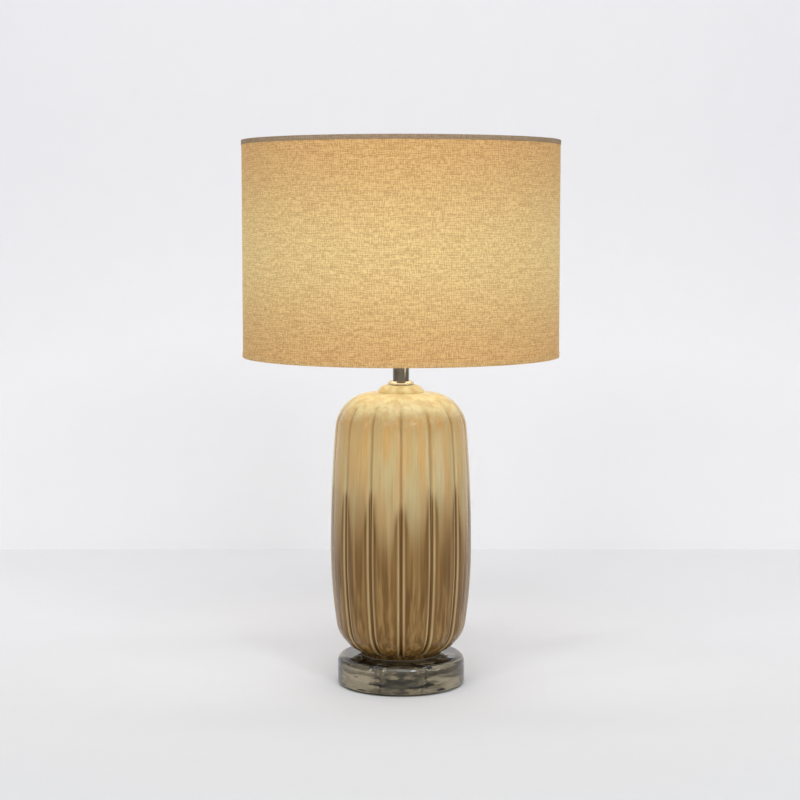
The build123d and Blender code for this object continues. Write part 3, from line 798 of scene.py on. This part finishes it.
# %% Linen finish
LAMP_Z = 484.1 * MM
LINEN_THICK = srgb(172, 126, 72)
LINEN_THIN = srgb(202, 162, 103)
LINEN_ROUGH = 0.85
LINEN_SHEEN = 0.2
LINEN_RELIEF = 0.4 * MM
LINEN_RELIEF_SHARE = 0.5
LAMP_NEAR = (0.243, 0.24, 0.13, 1)
LAMP_FAR = (0.09, 0.02, 0.01, 1)
GLOW_REACH = 115 * MM
GLOW_SWING = 0.4
LAP_LINE = 0.4 * MM
LAP_SHADE = 0.45
THREAD_TURN = 2 * pi / (2.4 * MM)
THREAD_WANDER = 6 * MM
THREAD_SHARE = 0.09
SLUB_SHARE = 0.6
WEAVE_SPAN = (0.98, 1.62)
# Noises, in counts per metre along and up the cloth.
WEFT = (190, 760, 1)
WARP = (760, 190, 1)
SLUB = (45, 300, 1)
WANDER = (45, 45, 1)


def nearness(height, reach):
    """1 level with the bulb, falling with distance as the light on a wall falls."""
    drop = (height - LAMP_Z) / reach
    return (1 + drop * drop) ** -1.5


def weave(cloth, place):
    """0 on a thick thread and 1 between threads, at a flat place on the cloth in metres."""
    weft, warp, slub, drift = [
        cloth.noise(place, counts, detail=1) for counts in (WEFT, WARP, SLUB, WANDER)
    ]
    across, along, _ = cloth.split(place)
    warp_lines = cloth.maths("SINE", (across + THREAD_WANDER * drift) * THREAD_TURN)
    weft_lines = cloth.maths("SINE", (along + THREAD_WANDER * drift) * THREAD_TURN)
    mixed = weft + warp + slub * SLUB_SHARE + (warp_lines + weft_lines) * THREAD_SHARE
    return cloth.smooth(mixed, *WEAVE_SPAN)


def woven(cloth, place, thick, between):
    """Paints the threads' colours and relief, and gives the weave."""
    thin = weave(cloth, place)
    cloth.paint("Base_Color", cloth.mix(thin, thick, between))
    cloth.bump(thin, LINEN_RELIEF, LINEN_RELIEF_SHARE)
    return thin


def linen_finish(name):
    linen = Finish(name, Roughness=LINEN_ROUGH, Specular_IOR_Level=LINEN_SHEEN)
    place = linen.uv()
    thin = woven(linen, place, LINEN_THICK, LINEN_THIN)
    height = linen.split(linen.place())[2]
    lamp = linen.mix(nearness(height, GLOW_REACH), LAMP_FAR, LAMP_NEAR)
    lap_start = CLOTH_L - LAP_W
    lap = linen.smooth(linen.split(place)[0], lap_start - LAP_LINE, lap_start + LAP_LINE)
    linen.glow(lamp, uneven(thin, GLOW_SWING) * (1 - LAP_SHADE * lap))
    return linen.material


linen_material = linen_finish("finish_linen")
dress(cover, "shade", "linen", linen_material, "shade_cover")
print("linen cover:", len(cover.data.polygons), "faces")

# %% [markdown]
# ## The hems
# The two edges of the drum are bound with a folded tape of the same linen. The tape hides the wire
# ring, so no light comes through it at the top, while the lower one catches light from the inside.
# The top tape is also painted darker than the linen, as painted shade. A tape is the same all the
# way round, so it is turned from one folded outline.

# %% Hems
HEM_T = 0.4 * MM
HEM_H = 5 * MM
HEM_BORE_R = 169.7 * MM
HEM_INNER_H = 3.65 * MM
HEM_EDGE_R = 0.35 * MM
HEM_EDGE_STEPS = 3
SHADE_R = 175 * MM
# Painted shade: the top tape's linen colours are darker than the rest, as an unlit band.
TOP_HEM_SHADED_THICK = srgb(144, 121, 95)
TOP_HEM_SHADED_THIN = srgb(164, 143, 118)
NO_GLOW = (0, 0, 0, 1)
LOW_HEM_GLOW = (0.12, 0.1, 0.06, 1)


def hem_outline(edge, up):
    """Tape folded round an edge: outside leg, fold and inside leg, as the CAD hem has them."""
    corners = [
        (HEM_BORE_R, edge),
        (SHADE_R, edge),
        (SHADE_R, edge + up * HEM_H),
        (SHADE_R - HEM_T, edge + up * HEM_H),
        (SHADE_R - HEM_T, edge + up * HEM_T),
        (HEM_BORE_R + HEM_T, edge + up * HEM_T),
        (HEM_BORE_R + HEM_T, edge + up * HEM_INNER_H),
        (HEM_BORE_R, edge + up * HEM_INNER_H),
    ]
    return rounded(corners, HEM_EDGE_R, HEM_EDGE_STEPS)


def hem_finish(name, thick, between, glow):
    """The linen's weave, laid round the drum by angle and height."""
    hem = Finish(name, Roughness=LINEN_ROUGH, Specular_IOR_Level=LINEN_SHEEN)
    x, y, z = hem.split(hem.place())
    around = hem.maths("ARCTAN2", y, x) * SHADE_R
    thin = woven(hem, hem.join(around, z, 0), thick, between)
    hem.glow(glow, uneven(thin, GLOW_SWING))
    return hem.material


top_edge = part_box("top_hem")[1].z
low_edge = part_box("bottom_hem")[0].z
top_hem = turned("linen_top_hem", hem_outline(top_edge, -1), CLOTH_COLUMNS)
low_hem = turned("linen_low_hem", hem_outline(low_edge, 1), CLOTH_COLUMNS)
top_shaded_finish = hem_finish("finish_top_hem", TOP_HEM_SHADED_THICK, TOP_HEM_SHADED_THIN, NO_GLOW)
low_finish = hem_finish("finish_low_hem", LINEN_THICK, LINEN_THIN, LOW_HEM_GLOW)
dress(top_hem, "shade", "linen_hem", top_shaded_finish, "top_hem")
dress(low_hem, "shade", "linen_hem", low_finish, "bottom_hem")

# %% [markdown]
# ## The neck
# A plated cap sits on the collar and a plated tube carries the lampholder. Both are turned with
# small rounded edges, because a plated edge is always polished first. The tube's plating is painted
# dark and warm, as painted shade, and the cap keeps a bright plated colour. Long faint turning
# marks run round both, so the noise is stretched: few counts across the axis and many along it.

# %% Neck
NECK_WALL_R = 7.8 * MM
NECK_PASS_R = 5.5 * MM
NECK_CAP_EDGE_H = 2 * MM
NECK_CAP_TOP_R = 11.5 * MM
NECK_CAP_ROUND = 1.0 * MM
NECK_TUBE_ROUND = 0.4 * MM
NECK_COLUMNS = 96
TURNING = (60, 60, 2400)
METAL_SHADE = 0.3
METAL_ROUGH = 0.8


def metal_finish(name, colour, roughness, marks):
    """Metal with fine marks. Marks are counts per metre along each axis."""
    metal = Finish(name, Metallic=1.0)
    mark = metal.noise(metal.place(), marks, detail=3)
    metal.paint("Base_Color", metal.tinted(colour, uneven(mark, METAL_SHADE)))
    metal.paint("Roughness", roughness * uneven(mark, METAL_ROUGH))
    return metal.material


# Painted shade: the tube's plating is coloured much darker than the cap's, as if in shadow.
satin_shaded_material = metal_finish("finish_satin", srgb(122, 112, 94), 0.16, TURNING)
polished_material = metal_finish("finish_polished", srgb(222, 212, 188), 0.1, TURNING)
cap_low, cap_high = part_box("neck_cap")
tube_low, tube_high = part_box("neck_tube")
cap_corners = [
    (NECK_PASS_R, cap_low.z),
    (cap_high.x, cap_low.z),
    (cap_high.x, cap_low.z + NECK_CAP_EDGE_H),
    (NECK_CAP_TOP_R, cap_high.z),
    (NECK_PASS_R, cap_high.z),
]
tube_corners = [
    (NECK_WALL_R, tube_low.z),
    (tube_high.x, tube_low.z),
    (tube_high.x, tube_high.z),
    (NECK_WALL_R, tube_high.z),
]
neck_cap = turned("plated_cap", rounded(cap_corners, NECK_CAP_ROUND), NECK_COLUMNS)
neck_tube = turned("plated_tube", rounded(tube_corners, NECK_TUBE_ROUND), NECK_COLUMNS)
dress(neck_cap, "stand", "chrome_plate", polished_material, "neck_cap")
dress(neck_tube, "stand", "chrome_plate", satin_shaded_material, "neck_tube")
print("neck:", len(neck_cap.data.polygons) + len(neck_tube.data.polygons), "faces")

# %% [markdown]
# ## The clear base
# The base is a thick disc of cast glass with a recess under its middle for the nut. Cast glass is
# never quite even: it has slow ripples, which bend what is seen through it. So one noise lifts its
# surface a little and also streaks its tint from clear to near black; the streaks are partly the
# glass's own unevenness and partly painted reflections of dark surroundings. The shader tints light
# at each surface that it crosses, and about the bore it crosses several, so the tint there is pale.
# One tint everywhere would turn the middle black.

# %% Glass finish
# Painted reflection: the near-black tint of the streaks.
GLASS_DARK_REFLECTION = (0.058, 0.045, 0.023, 1)
GLASS_CLEAR = (0.345, 0.293, 0.192, 1)
GLASS_BORE = (0.86, 0.84, 0.8, 1)
BORE_EDGE_R = 36 * MM
BORE_FADE = 6 * MM
SWIRL = (30, 30, 150)
REFLECTION_STREAK_SPAN = (0.4, 0.6)
GLASS_ROUGH = 0.004
GLASS_RELIEF = 2.5 * MM
GLASS_RELIEF_SHARE = 0.4


def glass_finish():
    glass = Finish("finish_glass", Transmission_Weight=1.0, IOR=1.5)
    place = glass.place()
    swirl_and_reflection = glass.noise(place, SWIRL)
    # Painted reflection: streaks of near-black tint stand in for dark surroundings seen in the
    # glass.
    disc = glass.mix(glass.smooth(swirl_and_reflection, *REFLECTION_STREAK_SPAN), GLASS_DARK_REFLECTION, GLASS_CLEAR)
    x, y, _ = glass.split(place)
    outer = glass.smooth((x * x + y * y) ** 0.5, BORE_EDGE_R, BORE_EDGE_R + BORE_FADE)
    glass.paint("Base_Color", glass.mix(outer, GLASS_BORE, disc))
    glass.paint("Roughness", GLASS_ROUGH * swirl_and_reflection)
    glass.bump(swirl_and_reflection, GLASS_RELIEF, GLASS_RELIEF_SHARE)
    return glass.material


glass_material = glass_finish()
print("glass:", len(glass_material.node_tree.nodes), "nodes")

# %% [markdown]
# ## The finishes of the plain pieces
# The remaining pieces are plain turned, bent or moulded shapes that CAD already has right: the
# clear disc, the lampholder, the wire fitter and most of the bulb. Each takes its finish from its
# material slot. One helper makes moulded and painted finishes with a fine grain, and another makes
# the surfaces that the bulb lights from behind or within.

# %% Finishes by slot
GRAIN = (700, 700, 700)
GRAIN_SHADE = 0.2
GRAIN_ROUGH = 0.4
GRAIN_RELIEF = 0.2 * MM
GRAIN_RELIEF_SHARE = 0.3
CLOUD = (90, 90, 90)
CLOUD_SHADE = 0.1
CLOUD_GLOW = 0.12
BULB_GLOW = (0.6, 0.53, 0.4, 1)
LINER_GLOW = (0.6, 0.46, 0.265, 1)


def moulded_finish(name, colour, roughness, **constants):
    moulded = Finish(name, **constants)
    speck = moulded.noise(moulded.place(), GRAIN, detail=3)
    moulded.paint("Base_Color", moulded.tinted(colour, uneven(speck, GRAIN_SHADE)))
    moulded.paint("Roughness", roughness * uneven(speck, GRAIN_ROUGH))
    moulded.bump(speck, GRAIN_RELIEF, GRAIN_RELIEF_SHARE)
    return moulded.material


def lit_finish(name, colour, glow, by_height):
    """A surface that the bulb lights from behind or within."""
    lit = Finish(name, Roughness=0.6)
    place = lit.place()
    speck = lit.noise(place, CLOUD)
    lit.paint("Base_Color", lit.tinted(colour, uneven(speck, CLOUD_SHADE)))
    share = nearness(lit.split(place)[2], SHADE_TURN_R) if by_height else 1.0
    lit.glow(glow, share * uneven(speck, CLOUD_GLOW))
    return lit.material


finishes = {
    "clear_glass": glass_material,
    "zinc_steel": metal_finish("finish_zinc", srgb(178, 180, 182), 0.35, (300, 300, 300)),
    "clear_rubber": moulded_finish("finish_rubber", srgb(128, 114, 92), 0.5),
    "bush_plastic": moulded_finish("finish_bush", srgb(206, 206, 200), 0.45),
    "holder_black": moulded_finish("finish_holder", srgb(34, 33, 32), 0.4),
    "porcelain": moulded_finish("finish_porcelain", srgb(232, 228, 218), 0.25, Coat_Weight=0.3),
    "brass_contact": metal_finish("finish_brass", srgb(196, 164, 96), 0.28, (500, 500, 500)),
    "nickel_cap": metal_finish("finish_nickel", srgb(190, 188, 182), 0.24, (80, 80, 1500)),
    "bulb_white": moulded_finish("finish_bulb_white", srgb(236, 235, 230), 0.4),
    "bulb_opal": lit_finish("finish_opal", srgb(150, 146, 136), BULB_GLOW, False),
    "board_aluminium": metal_finish("finish_board", srgb(214, 214, 212), 0.4, (200, 200, 200)),
    "liner_film": lit_finish("finish_liner", srgb(206, 184, 146), LINER_GLOW, True),
    "white_wire": moulded_finish("finish_wire", srgb(232, 230, 224), 0.35),
}
print("finishes:", len(finishes), "slots")

# %% [markdown]
# ## The bulb's screw cap
# A bulb's cap is thin metal, rolled between two shaped wheels that press a round thread into it.
# The thread is one more rule on an outline: each point of the wall moves in by a wave that climbs
# one pitch with each turn. So the body's grid serves again, with another rule. The wave dies out
# below the plain band where the housing is glued in.

# %% Threaded cap
THREAD_PITCH = 3.6 * MM
THREAD_DEPTH = 0.7 * MM
THREAD_FROM = 0.8 * MM
THREAD_TO = 11.5 * MM
THREAD_END = 1.2 * MM
CAP_R = 13.05 * MM
CAP_T = 0.6 * MM
CAP_COLUMNS = 96
CAP_STEP = 0.4 * MM
screw_low, screw_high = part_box("bulb_screw_cap")


def cap_outline():
    """The cap's section: under the floor, up the outside, down the inside and over the floor."""
    inner_r = CAP_R - CAP_T
    low, high = screw_low.z, screw_high.z
    points = [(0, low), (inner_r, low)]
    points += line((CAP_R, low + CAP_T), (CAP_R, high), CAP_STEP) + [(CAP_R, high)]
    points += line((inner_r, high), (inner_r, low + CAP_T), CAP_STEP)
    return points + [(inner_r, low + CAP_T), (0, low + CAP_T)]


def threaded_cap_tree(sizes, material):
    sheet, size = shape_tree("threaded_cap", sizes)
    grid, across, radius, height, _, _ = wrapped_grid(sheet, size, size["Columns"])
    start = screw_low.z + THREAD_FROM
    end = screw_low.z + THREAD_TO
    fade_in = sheet.smooth(height, start, start + THREAD_END)
    fade_out = 1 - sheet.smooth(height, end - THREAD_END, end)
    on_wall = sheet.smooth(radius, CAP_R - 2 * CAP_T, CAP_R - CAP_T)
    wave = 0.5 - 0.5 * sheet.maths("COSINE", (height / size["Pitch"] - across) * (2 * pi))
    radius = radius - size["Depth"] * wave * fade_in * fade_out * on_wall
    finish_shape(sheet, wrapped_round(sheet, grid, across * (2 * pi), radius, height), material)
    return sheet.tree


cap_points = cap_outline()
cap_sizes = {
    "Columns": CAP_COLUMNS,
    "Rows": len(cap_points),
    "Pitch": THREAD_PITCH,
    "Depth": THREAD_DEPTH,
}
nickel_material = finishes["nickel_cap"]
cap_tree = threaded_cap_tree(cap_sizes, nickel_material)
screw_cap = baked("threaded_cap", host_line(cap_points), cap_tree, cap_sizes)
screw_cap.data.set_sharp_from_angle(angle=SHARP_ANGLE)
dress(screw_cap, "bulb", "nickel_cap", nickel_material, "bulb_screw_cap")
print("threaded cap:", len(screw_cap.data.polygons), "faces")

# %% [markdown]
# ## The pieces that keep their CAD shape
# A node that no piece stands for is still shown. Its slot's name picks its finish, so pieces of one
# material always match, and nothing has to be listed piece by piece.

# %% Finishes on the kept pieces
kept = [node for node in NODES.values() if not node.hide_render]
for node in kept:
    slot = node.data.materials[0].name
    node.data.materials.clear()
    node.data.materials.append(finishes[slot])
print("kept CAD pieces:", len(kept))

# %% [markdown]
# ## Floor and wall
# The lamp stands on a pale table with a pale wall behind it. Each is one sheet of paper, graded
# from one tone to another, as a studio's paper is where the light falls off. Each is clear from its
# rear side, so that a view from behind or below isn't blocked.

# %% Stage
FLOOR_Z = -0.2 * MM
WALL_Y = 0.855
STAGE_HALF_W = 3.0
STAGE_FRONT = -2.4
WALL_TOP = 3.0
PAPER_SPECK = (30, 30, 30)
PAPER_SHADE = 0.02
Y_AXIS, Z_AXIS = 1, 2
FLOOR_TONES = (srgb(219, 220, 222), srgb(243, 243, 245))
FLOOR_SPAN = (-0.5, 0.6)
WALL_TONES = (srgb(253, 253, 255), srgb(239, 239, 242))
WALL_SPAN = (0.0, 0.7)


def stage_plane(name, corners, tones, axis, span):
    """A flat sheet of paper, graded from one tone to the other along one axis."""
    paper = Finish(name, Roughness=0.9, Specular_IOR_Level=0.1)
    place = paper.place()
    colour = paper.mix(paper.smooth(paper.split(place)[axis], *span), *tones)
    speck = paper.noise(place, PAPER_SPECK)
    paper.paint("Base_Color", paper.tinted(colour, uneven(speck, PAPER_SHADE)))
    rear = paper.node("ShaderNodeNewGeometry", out="Backfacing")
    front = Wire(paper, paper.surface.outputs["BSDF"])
    sides = {0: rear, 1: front, 2: paper.node("ShaderNodeBsdfTransparent")}
    surface = paper.tree.nodes["Material Output"].inputs["Surface"]
    paper.feed(surface, paper.node("ShaderNodeMixShader", sockets=sides))
    mesh = bpy.data.meshes.new(name)
    mesh.from_pydata(corners, [], [(0, 1, 2, 3)])
    mesh.materials.append(paper.material)
    linked(name, mesh)


left, right = -STAGE_HALF_W, STAGE_HALF_W
front_edge = [(left, STAGE_FRONT, FLOOR_Z), (right, STAGE_FRONT, FLOOR_Z)]
wall_foot = [(left, WALL_Y, FLOOR_Z), (right, WALL_Y, FLOOR_Z)]
wall_edge = [(left, WALL_Y, WALL_TOP), (right, WALL_Y, WALL_TOP)]
stage_plane("floor", front_edge + wall_foot[::-1], FLOOR_TONES, Y_AXIS, FLOOR_SPAN)
stage_plane("wall", wall_foot + wall_edge[::-1], WALL_TONES, Z_AXIS, WALL_SPAN)
print("stage: wall at", WALL_Y, "m")

# %% [markdown]
# ## Light
# A large softbox over the camera is the main light, and a wide lamp above washes the wall. Two
# narrow strips draw the thin bright lines down the lobes, two small windows give the glass its
# highlights, and a low lamp at the right puts a glint on the neck. The bulb's own light on the
# shoulder comes from a small lamp inside the shade. The world is dim as a light, yet bright where a
# mirror or the glass shows it, because a plated neck in an empty room would be black.

# %% Lights
WHITE = (1, 1, 1)
WARM = (1, 0.97, 0.93)
SKY = (0.9, 0.95, 1)
BULB_LIGHT = (1, 0.905, 0.68)
BODY_MIDDLE = (0, 0, 0.25)
BASE_MIDDLE = (0, 0, 0.1)
BELOW = (0, 0.0001, 0)
STRIP = (0.07, 1.2)
WINDOW = (0.3, 0.3)
# Each light's place, target, width and height in metres, power in watts and colour.
LIGHTS = {
    "left_strip": ((-1.5, -0.9, 1.1), BODY_MIDDLE, STRIP, 4, WARM),
    "right_strip": ((1.5, -1.1, 1.1), BODY_MIDDLE, STRIP, 3, WARM),
    "lamp_glow": ((0, 0, 0.435), BELOW, (0.2, 0.2), 0.095, BULB_LIGHT),
    "neck_glint": ((1.1, -0.6, 0.26), (0, 0, 0.355), (0.5, 0.16), 1.0, WHITE),
    "left_window": ((-1.0, -1.6, 1.5), BASE_MIDDLE, WINDOW, 6, SKY),
    "right_window": ((0.8, -1.7, 1.5), BASE_MIDDLE, WINDOW, 6, SKY),
    "key_softbox": ((0, -2.2, 2.4), (0, 0, 0.3), (2.4, 1.8), 46, WHITE),
    "wall_wash": ((0, -0.1, 2.7), (0, WALL_Y, 0.7), (3.2, 0.4), 15.3, WHITE),
}
WORLD_FILL = 0.15
WORLD_SEEN = 0.8

for name, (place, target, size, power, colour) in LIGHTS.items():
    light = bpy.data.lights.new(name, "AREA")
    light.shape = "RECTANGLE"
    light.size, light.size_y = size
    light.energy = power
    light.color = colour
    lamp = linked(name, light)
    lamp.location = place
    aim = Vector(target) - Vector(place)
    lamp.rotation_euler = aim.to_track_quat("-Z", "Y").to_euler()

world = bpy.data.worlds.new("studio")
world.use_nodes = True
studio = Sheet(world.node_tree)
rays = studio.node("ShaderNodeLightPath").socket.node.outputs
camera_ray, glossy_ray, clear_ray = [
    Wire(studio, rays[f"Is {kind} Ray"]) for kind in ("Camera", "Glossy", "Transmission")
]
seen = studio.maths("MINIMUM", camera_ray + glossy_ray + clear_ray, 1)
background = world.node_tree.nodes["Background"]
studio.feed(background.inputs["Color"], (*WHITE, 1))
studio.feed(background.inputs["Strength"], WORLD_FILL + (WORLD_SEEN - WORLD_FILL) * seen)
bpy.context.scene.world = world
print("lights:", len(LIGHTS), "and the world")
